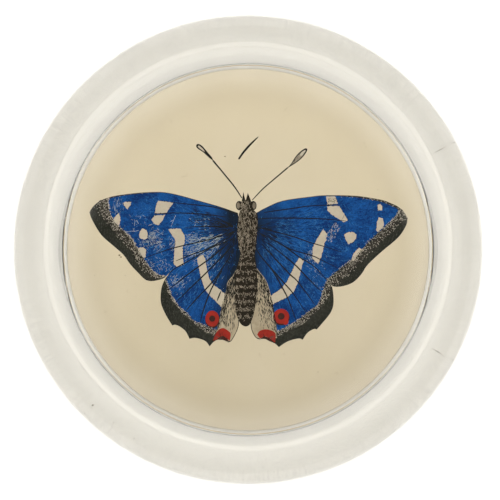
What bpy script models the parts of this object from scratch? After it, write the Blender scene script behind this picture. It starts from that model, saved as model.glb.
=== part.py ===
"""Glass dome paperweight with a butterfly print set into its underside.

A turned block of clear glass stands on a flat ring-shaped foot. A shallow
round recess inside that ring holds a paper print, face up against the glass,
and the white card that backs it.

Metres, +Z up. The origin is the middle of the foot's plane, and the
butterfly's head points along +Y.
"""

import math

import bmesh
import bpy

# The glass, all in metres
OUTER_RADIUS = 0.0500
DOME_HEIGHT = 0.0266
DOME_POWER_ACROSS = 2.6
DOME_POWER_UP = 1.9
SHOULDER_HEIGHT = 0.0127
FOOT_RADIUS = 0.0459
FOOT_ROUNDING_HEIGHT = 0.0045
FOOT_ROUNDING_POWER = 1.51

# The recess in the underside
RECESS_RADIUS = 0.0373
RECESS_DEPTH = 0.0030
RECESS_MOUTH_CHAMFER = 0.0003

# What lies in the recess
FIT_GAP = 0.0003
PRINT_RADIUS = 0.0365
PRINT_THICKNESS = 0.0004
CARD_THICKNESS = 0.0012

# How finely round shapes are divided
TURN_STEPS = 72
DOME_STEPS = 18
ROUNDING_STEPS = 6
MERGE_DISTANCE = 0.00001
SMOOTH_ANGLE = math.radians(30)


def clear_scene():
    """Remove whatever the scene holds."""
    for thing in list(bpy.data.objects):
        bpy.data.objects.remove(thing, do_unlink=True)


def plain_material(name, colour, roughness):
    """Opaque material of one colour."""
    material = bpy.data.materials.new(name)
    material.use_nodes = True
    shader = material.node_tree.nodes["Principled BSDF"]
    shader.inputs["Base Color"].default_value = (*colour, 1.0)
    shader.inputs["Roughness"].default_value = roughness
    shader.inputs["Metallic"].default_value = 0.0
    return material


def glass_material():
    """Clear polished glass with a trace of warm green."""
    material = plain_material("clear_glass", (0.97, 0.98, 0.94), 0.0)
    shader = material.node_tree.nodes["Principled BSDF"]
    shader.inputs["Transmission Weight"].default_value = 1.0
    shader.inputs["IOR"].default_value = 1.5
    return material


def foot_rounding():
    """Section of the corner between the foot's face and the straight side."""
    width = OUTER_RADIUS - FOOT_RADIUS
    power = 2.0 / FOOT_ROUNDING_POWER
    points = []
    for step in range(ROUNDING_STEPS + 1):
        turn = math.pi / 2 * step / ROUNDING_STEPS
        radius = FOOT_RADIUS + width * math.sin(turn) ** power
        height = FOOT_ROUNDING_HEIGHT * (1.0 - math.cos(turn) ** power)
        points.append((radius, height))
    return points


def dome_section():
    """Quarter of a rounded oblong, from the shoulder up to the top of the dome."""
    rise = DOME_HEIGHT - SHOULDER_HEIGHT
    points = []
    for step in range(DOME_STEPS):
        across = math.cos(math.pi / 2 * step / DOME_STEPS)
        up = (1.0 - across ** DOME_POWER_ACROSS) ** (1.0 / DOME_POWER_UP)
        points.append((OUTER_RADIUS * across, SHOULDER_HEIGHT + rise * up))
    points.append((0.0, DOME_HEIGHT))
    return points


def glass_section():
    """Whole section of the glass, from the recess's middle to the dome's top."""
    recess = [
        (0.0, RECESS_DEPTH),
        (RECESS_RADIUS, RECESS_DEPTH),
        (RECESS_RADIUS, RECESS_MOUTH_CHAMFER),
        (RECESS_RADIUS + RECESS_MOUTH_CHAMFER, 0.0),
    ]
    return recess + foot_rounding() + dome_section()


def disc_section(radius, top, thickness):
    """Section of a flat disc with its upper face at height top."""
    bottom = top - thickness
    return [(0.0, bottom), (radius, bottom), (radius, top), (0.0, top)]


def turned_solid(name, section, material):
    """Turn a section about Z into one closed solid, shaded smooth where it is round."""
    shape = bmesh.new()
    points = [shape.verts.new((radius, 0.0, height)) for radius, height in section]
    edges = [shape.edges.new(pair) for pair in zip(points, points[1:])]
    bmesh.ops.spin(shape, geom=points + edges, cent=(0, 0, 0), axis=(0, 0, 1),
                   angle=2 * math.pi, steps=TURN_STEPS, use_merge=True)
    bmesh.ops.remove_doubles(shape, verts=shape.verts, dist=MERGE_DISTANCE)
    bmesh.ops.recalc_face_normals(shape, faces=shape.faces)
    mesh = bpy.data.meshes.new(name)
    shape.to_mesh(mesh)
    shape.free()
    mesh.materials.append(material)
    mesh.shade_smooth()
    mesh.set_sharp_from_angle(angle=SMOOTH_ANGLE)
    solid = bpy.data.objects.new(name, mesh)
    bpy.context.scene.collection.objects.link(solid)
    return solid


def build():
    """Make the glass, the print and the card behind it."""
    clear_scene()
    turned_solid("glass_dome", glass_section(), glass_material())

    print_top = RECESS_DEPTH - FIT_GAP
    paper = plain_material("print_paper", (0.60, 0.53, 0.39), 0.7)
    turned_solid("butterfly_print", disc_section(PRINT_RADIUS, print_top, PRINT_THICKNESS), paper)

    card_top = print_top - PRINT_THICKNESS - FIT_GAP
    card_radius = RECESS_RADIUS - FIT_GAP
    card = plain_material("white_card", (0.75, 0.74, 0.70), 0.8)
    turned_solid("backing_card", disc_section(card_radius, card_top, CARD_THICKNESS), card)


build()
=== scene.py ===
"""Looks of the glass dome paperweight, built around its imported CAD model.

The dome is real refracting glass over a flat print, so the rings of the rim
and the magnified picture come from the shape of the glass. The butterfly is
ink on the print's flat top face: that face is cut along the edge of every
wash, vein, spot and engraved stroke, and each area has its own ink.
"""

import math
import random

import bmesh
import bpy
import numpy as np
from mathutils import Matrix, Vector, geometry


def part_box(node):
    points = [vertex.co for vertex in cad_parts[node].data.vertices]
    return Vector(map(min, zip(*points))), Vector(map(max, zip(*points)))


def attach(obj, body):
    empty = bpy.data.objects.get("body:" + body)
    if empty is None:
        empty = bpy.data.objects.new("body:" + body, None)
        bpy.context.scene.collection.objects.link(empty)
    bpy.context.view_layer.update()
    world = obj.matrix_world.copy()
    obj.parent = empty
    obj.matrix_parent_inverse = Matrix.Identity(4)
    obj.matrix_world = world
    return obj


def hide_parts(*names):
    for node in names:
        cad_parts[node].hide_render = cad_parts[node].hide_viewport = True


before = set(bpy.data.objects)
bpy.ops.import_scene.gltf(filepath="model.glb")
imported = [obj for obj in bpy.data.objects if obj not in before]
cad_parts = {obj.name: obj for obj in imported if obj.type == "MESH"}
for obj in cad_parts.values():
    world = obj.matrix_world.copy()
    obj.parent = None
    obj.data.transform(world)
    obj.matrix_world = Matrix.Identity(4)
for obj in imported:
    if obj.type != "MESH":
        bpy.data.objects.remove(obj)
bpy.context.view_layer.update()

MM = 0.001

# Sizes from the frame
_, glass_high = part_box("glass_dome")
print_low, print_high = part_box("butterfly_print")
card_low, card_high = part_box("backing_card")
OUTER_RADIUS = glass_high.x
DOME_HEIGHT = glass_high.z
PRINT_RADIUS = print_high.x
PRINT_TOP = print_high.z
PRINT_BOTTOM = print_low.z

# Sizes of the glass that its box doesn't give
DOME_POWER_ACROSS = 2.6
DOME_POWER_UP = 1.9
SHOULDER_HEIGHT = 12.7 * MM
FOOT_RADIUS = 45.9 * MM
FOOT_ROUNDING_HEIGHT = 4.5 * MM
FOOT_ROUNDING_POWER = 1.51
RECESS_RADIUS = card_high.x + 0.3 * MM
RECESS_MOUTH_CHAMFER = 0.3 * MM
GLUE_DEPTH = 0.02 * MM
GLASS_IOR = 1.5
MARK_HEIGHT = 0.5 * MM

# The camera, and where the photograph shows the disc in its 500 x 500 pixels
CAMERA_HEIGHT = 0.9
SENSOR_WIDTH = 36.0
CLIP_START = 0.01
PHOTO_CENTRE_PX = 250.0
DISC_CENTRE_PX = (248.0, 249.7)
DISC_RADIUS_PX = 234.2
METRES_PER_PX = OUTER_RADIUS / DISC_RADIUS_PX


def dome_height(across):
    """Height of the dome's surface at a share of the outer radius."""
    up = (1.0 - min(across, 1.0) ** DOME_POWER_ACROSS) ** (1.0 / DOME_POWER_UP)
    return SHOULDER_HEIGHT + (DOME_HEIGHT - SHOULDER_HEIGHT) * up


# How closely a ray is followed down through the dome, and the radii that it is done for
HALVINGS = 40
SLOPE_STEP = 1e-4
SEEN_FROM = 0.0005
SEEN_TO = 0.049
SEEN_COUNT = 98


def seen_below(seen, depth):
    """Radius at height depth, under the dome, that the camera sees at radius seen."""
    low, high = SHOULDER_HEIGHT, DOME_HEIGHT
    for _ in range(HALVINGS):
        height = (low + high) / 2
        radius = seen * (CAMERA_HEIGHT - height) / (CAMERA_HEIGHT - SHOULDER_HEIGHT)
        if height > dome_height(radius / OUTER_RADIUS):
            high = height
        else:
            low = height
    across = radius / OUTER_RADIUS
    fall = dome_height(across + SLOPE_STEP) - dome_height(across - SLOPE_STEP)
    normal = Vector((-fall / (2 * SLOPE_STEP * OUTER_RADIUS), 1.0)).normalized()
    ray = Vector((radius, height - CAMERA_HEIGHT)).normalized()
    facing = -ray.dot(normal)
    bend = 1.0 / GLASS_IOR
    bent = bend * ray + (bend * facing - math.sqrt(1 - bend ** 2 * (1 - facing ** 2))) * normal
    return radius - bent.x / bent.y * (height - depth)


SEEN_RADII = np.linspace(SEEN_FROM, SEEN_TO, SEEN_COUNT)
PAPER_RADII = np.array([seen_below(seen, PRINT_TOP) for seen in SEEN_RADII])
FOOT_RADII = np.array([seen_below(seen, MARK_HEIGHT) for seen in SEEN_RADII])


def under_glass(point, radii=PAPER_RADII):
    """Place under the dome, in millimetres, of what the photograph shows at a pixel."""
    across = (point[0] - DISC_CENTRE_PX[0]) * METRES_PER_PX
    up = (DISC_CENTRE_PX[1] - point[1]) * METRES_PER_PX
    seen = max(math.hypot(across, up), SEEN_RADII[0])
    shrink = float(np.interp(seen, SEEN_RADII, radii)) / seen
    return across * shrink / MM, up * shrink / MM


# How quickly a stroke swells from its tips to its middle; curves and strokes are in pixels
STROKE_SWELL = 0.7


def smooth(points, steps=4):
    """Points along a Catmull-Rom curve through the given ones, ends included."""
    ends = [points[0], *points, points[-1]]
    curve = []
    for quad in zip(ends, ends[1:], ends[2:], ends[3:]):
        for step in range(steps):
            t = step / steps
            weights = (
                -0.5 * t + t ** 2 - 0.5 * t ** 3,
                1 - 2.5 * t ** 2 + 1.5 * t ** 3,
                0.5 * t + 2 * t ** 2 - 1.5 * t ** 3,
                -0.5 * t ** 2 + 0.5 * t ** 3,
            )
            curve.append(tuple(sum(w * p[axis] for w, p in zip(weights, quad)) for axis in (0, 1)))
    curve.append(tuple(points[-1]))
    return curve


def outline(*runs):
    """Closed outline of smooth runs that meet in corners."""
    loop = []
    for run in runs:
        loop += smooth(run)[:-1]
    return loop


def ellipse(centre, across, down, turn=0.0, count=28):
    """Outline of an ellipse with half sizes across and down."""
    points = []
    for k in range(count):
        angle = 2 * math.pi * k / count
        x, y = across * math.cos(angle), down * math.sin(angle)
        points.append((centre[0] + x * math.cos(turn) - y * math.sin(turn),
                       centre[1] + x * math.sin(turn) + y * math.cos(turn)))
    return points


def stroke(path, width, start=0.0, end=0.0):
    """Outline of an engraved line, with shares start and end of its width at its tips."""
    if len(path) == 2:
        middle = tuple((a + b) / 2 for a, b in zip(*path))
        path = [path[0], middle, path[1]]
    last = len(path) - 1
    left, right = [], []
    for k, (x, y) in enumerate(path):
        before, after = path[max(k - 1, 0)], path[min(k + 1, last)]
        dx, dy = after[0] - before[0], after[1] - before[1]
        length = math.hypot(dx, dy) or 1.0
        share = k / last
        tip = start if share < 0.5 else end
        half = width / 2 * (tip + (1 - tip) * math.sin(math.pi * share) ** STROKE_SWELL)
        left.append((x - dy / length * half, y + dx / length * half))
        right.append((x + dy / length * half, y - dx / length * half))
    if start == 0.0:
        right = right[1:]
    if end == 0.0:
        right = right[:-1]
    return left + right[::-1]


def ahead(point, lean, length):
    """Point at a distance from another, in the direction of an angle."""
    return point[0] + math.cos(lean) * length, point[1] + math.sin(lean) * length


def inside(point, loop):
    """True if a point lies in a closed outline."""
    x, y = point
    found = False
    for (ax, ay), (bx, by) in zip(loop, loop[1:] + loop[:1]):
        if (ay > y) != (by > y) and x < (bx - ax) * (y - ay) / (by - ay) + ax:
            found = not found
    return found


def between(first, second, share, along):
    """Point a share of the way across from one curve to another, at a place along both."""
    a = first[min(int(along * len(first)), len(first) - 1)]
    b = second[min(int(along * len(second)), len(second) - 1)]
    return a[0] + (b[0] - a[0]) * share, a[1] + (b[1] - a[1]) * share


# The butterfly's figure, in pixels of the photograph

LEFT_FOREWING = {
    "costa": [(238, 213), (221, 207), (197, 200), (170, 193.1), (152.2, 192), (128.4, 193.9),
              (108.3, 197.7), (95.8, 204), (89.6, 212.6)],
    "margin": [(89.6, 212.6), (92, 219.7), (101.3, 234.9), (113.2, 245.7), (123.5, 254.9),
               (130.5, 264.7), (138.2, 272.8), (144.9, 279.4), (151.5, 281.1), (159.8, 279.7),
               (164.8, 277.7)],
    "inner": [(164.8, 277.7), (173, 269.7), (186.7, 262), (197.5, 255.5), (213, 247), (242, 236)],
    "stipple_edge": [(100.7, 200.7), (98, 206.7), (102.9, 217.5), (115.4, 233.8), (124, 240.8),
                     (133.8, 254.9), (138.1, 260.9), (146, 271.5), (156, 277.6), (164.8, 277.2)],
    "blue_edge": [(107.8, 198.4), (109.4, 211), (113.7, 220.2), (120.2, 227.8), (130, 236.5),
                  (136.5, 246.3), (143.5, 258.2), (154.8, 272.8), (164.8, 276.4)],
    "spots": [
        [(123, 202.9), (125.1, 201.8), (131.1, 201.8), (130.5, 205.1), (127.6, 209.4),
         (123.8, 205.6)],
        [(118.6, 212.6), (120.2, 216.4), (120.5, 220.2), (118.9, 226.7), (113.7, 220.8),
         (114.3, 217.5)],
        [(156.6, 203.4), (158.5, 200.7), (173.5, 202.4), (166, 213.5), (154.5, 213.2)],
        [(154.4, 215.4), (165.2, 214.8), (163.1, 219.7), (158.7, 225.4), (154.9, 224.3),
         (151.1, 219.7)],
        [(139.8, 231.1), (142.5, 228.1), (146.8, 230), (147.9, 233.8), (147.3, 238.7),
         (144.1, 239.8), (139.8, 238.1), (139.2, 235.4)],
        [(137.6, 249), (139.8, 247.3), (143, 247.3), (146.3, 249.5), (145.7, 257.1), (143.5, 258.2),
         (139.2, 251.7)],
        [(168.3, 228.9), (169.9, 232.7), (174.8, 238.7), (175, 242.5), (174.2, 252.8),
         (173.6, 263.9), (177.4, 267.4), (183.8, 264.6), (182.9, 258.2), (182.9, 247.3),
         (184.5, 243.5), (185.1, 238.1), (183.4, 233.2), (180.2, 228.4)],
    ],
    "veins": [
        [(238, 214), (216, 207.5), (197.5, 205.1), (170.4, 202.3)],
        [(226, 217), (209.5, 214.8), (195.4, 213.6), (173.1, 212.9), (154.4, 214.1)],
        [(228, 226), (218.1, 226.5), (202.9, 226.3), (185.1, 227.4)],
        [(228, 232.6), (211.1, 239.2), (192.1, 243.5), (173.7, 247.9), (165, 250.6),
         (143.5, 258.2)],
        [(228, 237.6), (208.4, 248.4), (192.1, 254.4), (175.8, 260.9)],
        [(232, 239), (213, 247), (197.5, 255.5), (186.7, 262), (173, 269.7), (167.2, 276.7)],
    ],
}

RIGHT_FOREWING = {
    "costa": [(256, 213), (266.7, 207.2), (282.9, 200.7), (310, 196.7), (326.3, 195.3),
              (356.6, 195.9), (379.5, 199.6), (389.9, 203.1), (399.1, 208), (407.1, 218.3)],
    "margin": [(407.1, 218.3), (406.5, 224.6), (398.5, 237.2), (382.4, 251), (368, 264.4),
               (361.6, 273.9), (353.7, 281.9), (344.1, 285.9), (334.5, 286.7), (329, 283.5)],
    "inner": [(329, 283.5), (321.5, 274.1), (312, 264.6), (299.2, 257.1), (285.7, 247.3),
              (272.1, 239.2), (252, 232)],
    "stipple_edge": [(401.9, 209.8), (403.4, 214), (402.9, 219.1), (391.5, 230.5), (376, 246),
                     (358.5, 263.5), (349.2, 272.8), (338.8, 281.1), (331.6, 284.2),
                     (328.6, 282.6)],
    "blue_edge": [(399.1, 210.3), (395, 217.1), (385.3, 226.3), (370.9, 239.5), (362.9, 248.7),
                  (352.2, 259.5), (338.9, 269.5), (327.3, 279.6)],
    "spots": [
        [(326.1, 196.5), (335.3, 196.5), (338.2, 203.9), (327.3, 204.6)],
        [(327.3, 206), (339.4, 206), (348, 220), (343.9, 222.6), (339.9, 219.4), (332.5, 215.4),
         (327.3, 210.3)],
        [(377.2, 204.5), (380.1, 203.9), (382.4, 206.2), (382.4, 210.3), (377.8, 210.8)],
        [(378.4, 217.1), (382.7, 218.3), (384.1, 225.2), (381.8, 228.6), (377.8, 232.1),
         (376.1, 230.4), (377, 222.3)],
        [(344.1, 234.4), (348, 231.9), (353, 231.9), (356.3, 234.6), (356.2, 238.6), (353, 242.2),
         (348.4, 244.2), (345.6, 239.6)],
        [(358.9, 247.6), (362.3, 249.3), (357.1, 256.2), (353.7, 261.4), (351.4, 259.6),
         (353.1, 253.9)],
        [(323.1, 228.9), (327.4, 234.3), (323.6, 247.3), (321.4, 257.1), (318.2, 264.1),
         (312.2, 258.2), (312.8, 247.3), (315.5, 241.4), (320.4, 233.2)],
    ],
    "veins": [
        [(264, 212.5), (277.5, 210.5), (293.8, 208.3), (310, 205.9), (338, 205)],
        [(258, 219), (271, 218.1), (293.8, 218.1), (315.5, 218.6), (329.6, 219.4), (346, 221)],
        [(256, 227), (266.7, 229.5), (280.2, 233), (296.5, 237.6), (310.1, 242.5), (323.6, 246.3),
         (341, 252)],
        [(262, 234), (277.5, 241.9), (291.1, 249.5), (311.7, 255.5), (320.9, 259.8), (338, 268)],
        [(258, 232), (272.1, 239.2), (285.7, 247.3), (299.2, 257.1), (312, 264.6), (321.5, 274.1),
         (327.3, 280.5)],
    ],
}

LEFT_HINDWING = {
    "outer": [
        [(165.3, 278.6), (161.5, 288), (160.8, 302.2), (165.9, 315), (172.3, 325.5)],
        [(172.3, 325.5), (175.5, 324.8), (180.6, 327.1), (185.7, 331.5), (189.5, 338.9)],
        [(189.5, 338.9), (194.6, 337.9), (201, 339.2), (206.1, 341.7), (209.6, 346.5)],
        [(209.6, 346.5), (213.1, 342.4), (217.6, 339.8), (222.7, 339.8), (227.8, 342.1)],
        [(227.8, 342.1), (231, 340.8), (234.8, 334.7), (238, 327.1), (238.6, 320)],
    ],
    "inner": [(238.6, 320), (243, 300), (243, 230)],
    "top": [(243, 230), (213, 238), (186, 254), (165.3, 278.6)],
    "stipple_edge": [(165.6, 279.5), (167.4, 288.9), (170.3, 297.2), (176.2, 305.5), (183.3, 313.7),
                     (190.4, 319.6), (197.5, 325.5), (205.7, 331.4), (214, 334.5)],
    "blue_edge": [(165.9, 280.5), (171, 293.3), (175.5, 302.2), (185.7, 312.4), (194.6, 321.3),
                  (205.5, 325.8), (215.7, 330.3)],
    "fold_edge": [(216.3, 331), (218.6, 322.6), (221.4, 307.9), (225.9, 292), (227.8, 281.8),
                  (234.2, 273.5), (239.3, 258.8)],
    "fold_rest": [(243, 262), (243, 300), (238.6, 320), (238, 327.1), (234.8, 334.7), (231, 340.6),
                  (227.8, 341.6), (216.3, 336)],
    "spots": [
        [(197, 258.2), (198.5, 267.1), (200.4, 276.7), (204.8, 289.4), (208.7, 294.5), (217, 302.8),
         (221.4, 307.3), (223.3, 300.9), (224.9, 293.9), (220.8, 290.1), (213.1, 284.3),
         (209.3, 278.6), (207.1, 270.3), (206.1, 263.3), (205.1, 258.2), (203, 254.7),
         (199.7, 255.5)],
    ],
    "veins": [
        [(228, 243), (213.8, 255.6), (188.3, 274.1), (170.4, 288.2)],
        [(232, 246), (223.3, 255.6), (206.1, 272.9), (188.3, 290.1), (176.1, 302.2)],
        [(230, 256), (221.4, 269.7), (213.8, 280.5), (194.6, 300.9), (185.7, 311.1)],
        [(222, 271), (213.1, 285.6), (207.4, 298.4), (202.3, 313.7), (200.4, 322)],
        [(220.8, 291.4), (217, 300.9)],
    ],
    "ring": ((212.2, 318.6), 6.8, 8.0, 3.1),
    "crescent": [
        [(212.8, 340.5), (217, 331.5), (222.7, 328), (228.4, 330.9), (230.7, 334.1),
         (229.7, 341.1)],
        [(229.7, 341.1), (227.2, 338.5), (223.3, 336), (220.2, 336.6), (217.6, 339.2),
         (212.8, 340.5)],
    ],
    "under_crescent": [(216.6, 339.6), (220.2, 336.4), (223.3, 335.8), (227.2, 338.3), (229, 341.3),
                       (226, 341), (222.7, 339.9)],
}

RIGHT_HINDWING = {
    "outer": [
        [(328.5, 282), (332.4, 288.2), (333.6, 301.6), (331.7, 310.5), (326.6, 318.1),
         (316.7, 329.6)],
        [(316.7, 329.6), (313.9, 329), (307.5, 332.8), (302.7, 339.8)],
        [(302.7, 339.8), (299.2, 338.5), (292.2, 339.8), (285.8, 342.4), (278.8, 347.2)],
        [(278.8, 347.2), (275, 343.6), (269.2, 341.1), (265.4, 339.2), (260.3, 339.2)],
        [(260.3, 339.2), (255.8, 337.3), (252, 330.3), (250.7, 322)],
    ],
    "inner": [(250.7, 322), (248, 300), (248, 228)],
    "top": [(248, 228), (285, 238), (315, 258), (328.5, 282)],
    "stipple_edge": [(329.6, 285.4), (328.4, 293.7), (324.9, 300.7), (311.9, 314.9), (302.5, 323.1),
                     (293, 327.9), (278.9, 334.9)],
    "blue_edge": [(326.7, 280.7), (322.3, 293), (317.8, 304.3), (306, 313.7), (295.4, 322),
                  (284.8, 327.9), (277.7, 331.4)],
    "fold_edge": [(276.9, 331.5), (276.3, 323.9), (273.1, 305.4), (270.5, 293.9), (266, 280.5),
                  (256.5, 267.8), (251, 258)],
    "fold_rest": [(248, 262), (248, 300), (250.7, 322), (252, 330.3), (255.8, 337.1),
                  (260.3, 338.8), (268, 339.5), (276.9, 338)],
    "spots": [
        [(299.2, 257.6), (303.7, 260.7), (301.1, 269.7), (297.9, 283.1), (293.5, 292),
         (287.7, 297.1), (280.7, 300.3), (272.4, 304.7), (270.5, 295.8), (281.4, 288.2),
         (286.5, 281.8), (290.3, 274.8), (294.7, 264.6)],
    ],
    "veins": [
        [(268, 243), (283.3, 255), (294.1, 263.9), (301.1, 270.9), (312.6, 283.1), (322.8, 292.6)],
        [(262, 244), (271.8, 255), (289.6, 274.1), (297.9, 281.8), (315.8, 306)],
        [(256, 249), (262.9, 258.8), (276.9, 274.8), (285.2, 284.3), (293.5, 293.9), (306.2, 313)],
        [(268, 264), (276.3, 276.7), (282.6, 288.2), (288.4, 299.6), (296, 320.7)],
    ],
    "ring": ((281.2, 316.3), 7.8, 7.5, 3.4),
    "crescent": [
        [(257.1, 334.7), (259.7, 330.9), (265.4, 329.3), (271.8, 330.6), (275.6, 334.1),
         (275, 342.8)],
        [(275, 342.8), (269.2, 337.9), (264.1, 336.3), (260.3, 338.3), (257.1, 334.7)],
    ],
    "under_crescent": [(260.5, 338.6), (264.1, 336.1), (269.2, 337.7), (274.6, 342.8),
                       (269.2, 340.9), (265.4, 339)],
}

WING_ROOTS = {"left": (240, 228), "right": (255, 228)}

THORAX = [(240, 210.5), (238.2, 218), (237.4, 224.8), (237.6, 238.9), (239.2, 249), (241.3, 254.5),
          (248, 256.5), (254.5, 254), (256.4, 243), (257.8, 224.8), (257.6, 216), (254.8, 211),
          (247, 208)]
ABDOMEN = [(242.3, 252), (241, 255.5), (238.2, 262), (235.6, 272), (234.8, 286.9), (235.5, 309.2),
           (238.3, 319.6), (241.5, 324.6), (245.7, 326.5), (249.5, 324.8), (252.2, 318.8),
           (254.8, 309), (257, 290), (257, 272), (255.8, 262), (254.6, 255.5), (253.6, 252)]
HEAD = ((245.6, 205.6), 5.4, 5.8)
PALPS = [[(241.2, 203), (242.2, 198.6), (243.4, 191.8), (244.4, 196.6), (246, 202)],
         [(245.4, 202), (246.6, 197.4), (247.8, 192.8), (249.8, 197.6), (251.6, 203)]]
EYES = [((239.2, 205.6), 3.4, 4.7), ((253.2, 205.6), 3.4, 4.7)]
ANTENNAE = [
    {"shaft": [(241.8, 198), (234.8, 187.2), (224.6, 174.4), (213, 160.6)], "width": 1.4,
     "club": [(213.5, 161.1), (209.1, 157.7), (203.2, 152.3), (197.6, 148.5), (196.1, 145.6),
              (198, 143.9), (201.9, 145.7), (207.4, 152), (211.8, 157.2)],
     "hollow": [(197.6, 146.4), (199, 145.4), (202.8, 148.6), (205, 151.8), (202.8, 150.8),
                (199.2, 148.2)],
     "hatched": False},
    {"shaft": [(252.2, 200.2), (262.5, 189.2), (274.5, 178.8), (287.8, 167.6)], "width": 1.15,
     "club": [(287.1, 168.4), (291.4, 163.1), (294.7, 157.8), (299.1, 152.6), (305.2, 148.3),
              (307.3, 150.1), (304, 155.6), (300, 159.8), (294.6, 163.8)],
     "hollow": [(299.8, 154.6), (301.8, 151.9), (305, 149.8), (305.8, 150.8), (302.8, 154.7),
                (300.8, 156.2)],
     "hatched": True},
]
PEN_TICK = [(238.6, 159.2), (244, 151.6), (250.4, 144.4), (258.4, 136.6)]
PEN_TICK_PX = 2.1
PEN_TICK_TIPS = (0.8, 0.2)

# Specks of the paper: height as a share of width, then the centre and half width of each
SPECK_HEIGHT = 0.8
PAPER_SPECKS = [
    ((225, 156.4), 0.75), ((119.4, 255.2), 1.1), ((121, 257), 0.9), ((94.5, 275.3), 0.4),
    ((125.3, 275.3), 0.4), ((377.9, 189.6), 0.4), ((318, 372), 0.5), ((168, 352), 0.4),
    ((287, 108), 0.4),
]


class Sheet:
    """Flat areas of ink on the print; a later area covers an earlier one."""

    def __init__(self):
        self.points = []
        self.loops = []
        self.inks = []

    def lay(self, loop, ink):
        """Add one area, given as points on the print in millimetres."""
        turn = sum(ax * by - bx * ay for (ax, ay), (bx, by) in zip(loop, loop[1:] + loop[:1]))
        first = len(self.points)
        self.points += loop if turn > 0 else loop[::-1]
        self.loops.append(list(range(first, first + len(loop))))
        self.inks.append(ink)

    def draw(self, loop, ink):
        """Add one area, given in pixels of the photograph."""
        self.lay([under_glass(point) for point in loop], ink)


# How wide and how rough the engraved work is, in pixels of the photograph
COSTA_LINE_PX = 0.7
FORE_VEIN_PX = 1.15
HIND_VEIN_PX = 1.4
VEIN_TIPS = (0.6, 0.35)
EDGE_LINE_PX = 0.7
EDGE_LINE_SHARE = 0.6
RING_SHADE_SHIFT = (0.2, 1.0)
RING_SHADE_PX = (0.5, 0.7)
RAGGED_STEP_PX = 1.2
RAGGED_SHIFT_PX = 0.26


def ragged(points, rng):
    """The outline cut into short steps and shifted a little, like a hand-painted edge."""
    loop = []
    for (ax, ay), (bx, by) in zip(points, points[1:] + points[:1]):
        count = max(1, int(math.hypot(bx - ax, by - ay) / RAGGED_STEP_PX))
        for k in range(count):
            share = k / count
            loop.append((ax + (bx - ax) * share + rng.uniform(-1, 1) * RAGGED_SHIFT_PX,
                         ay + (by - ay) * share + rng.uniform(-1, 1) * RAGGED_SHIFT_PX))
    return loop


def base_part(costa, boundary):
    """The costa from the wing's base out to where a boundary across the wing begins."""
    limit = abs(boundary[0][0] - costa[0][0])
    return [(x, y + COSTA_LINE_PX) for x, y in smooth(costa) if abs(x - costa[0][0]) < limit]


def draw_spots(sheet, wing, rng):
    """Pale spots of bare paper with a thin broken line of ink along their edges."""
    for spot in wing["spots"]:
        loop = ragged(spot, rng)
        sheet.draw(loop, "pale")
        for k in range(0, len(loop), 2):
            if rng.random() < EDGE_LINE_SHARE:
                path = [loop[k], loop[(k + 1) % len(loop)], loop[(k + 2) % len(loop)]]
                sheet.draw(stroke(path, EDGE_LINE_PX), "line")


def draw_forewing(sheet, wing, rng):
    """Black wing, stippled band, blue wash and pale spots, one over the other."""
    sheet.draw(outline(wing["costa"], wing["margin"], wing["inner"]), "black")
    for edge, ink in (("stipple_edge", "stipple"), ("blue_edge", "blue")):
        boundary = smooth(wing[edge])
        sheet.draw(base_part(wing["costa"], boundary) + boundary + smooth(wing["inner"])[1:], ink)
    draw_spots(sheet, wing, rng)


def draw_hindwing(sheet, wing, rng):
    """Black scalloped wing, stippled band, blue wash, fold panel, ring and crescent."""
    sheet.draw(outline(*wing["outer"], wing["inner"], wing["top"]), "black")
    for edge, ink in (("stipple_edge", "stipple"), ("blue_edge", "blue")):
        sheet.draw(smooth(wing[edge]) + smooth(wing["fold_edge"]) + smooth(wing["top"])[:-1], ink)
    draw_spots(sheet, wing, rng)
    sheet.draw(smooth(wing["fold_edge"]) + wing["fold_rest"], "fold")
    sheet.draw(stroke(smooth(wing["outer"][-1]), EDGE_LINE_PX, 1.0, 1.0), "line")
    centre, across, down, pupil = wing["ring"]
    shade = (centre[0] + RING_SHADE_SHIFT[0], centre[1] + RING_SHADE_SHIFT[1])
    sheet.draw(ellipse(shade, across + RING_SHADE_PX[0], down + RING_SHADE_PX[1]), "brown")
    sheet.draw(ellipse(centre, across, down), "red")
    sheet.draw(ellipse(centre, pupil, pupil), "brown")
    sheet.draw(outline(*wing["crescent"]), "red")
    sheet.draw(wing["under_crescent"], "brown")


def draw_veins(sheet, wing, width):
    """Dark tapering veins."""
    for vein in wing["veins"]:
        sheet.draw(stroke(smooth(vein, 3), width, *VEIN_TIPS), "line")


# Shares of the strokes that are pale, or that are drawn at all
PALE_STIPPLE = 0.36
PALER_BESIDE_BLUE = 0.27
PALE_EDGE_SHARE = 0.7
PALE_DASH_SHARE = 0.55
SCRATCH_SHARE = 0.75

# Least and greatest length and width of each kind of stroke, in pixels of the photograph
STIPPLE_LENGTH, STIPPLE_WIDTH = (0.6, 1.7), (0.4, 0.9)
GRAIN_SHARE, GRAIN_WIDTH = (0.06, 0.14), (0.25, 0.5)
PALE_EDGE_WIDTH = (0.5, 0.9)
DASH_LENGTH, DASH_WIDTH = (0.7, 1.9), (0.4, 0.75)
DOT_ACROSS, DOT_DOWN = (0.25, 0.5), (0.2, 0.4)
COSTA_REACH, COSTA_RISE, COSTA_WIDTH = (-1.4, 1.4), (-0.3, 0.3), (0.4, 0.7)
RUB_LENGTH, RUB_WIDTH = (0.9, 4.2), (0.18, 0.4)
SCRATCH_WIDTH = (0.35, 0.7)

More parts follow.
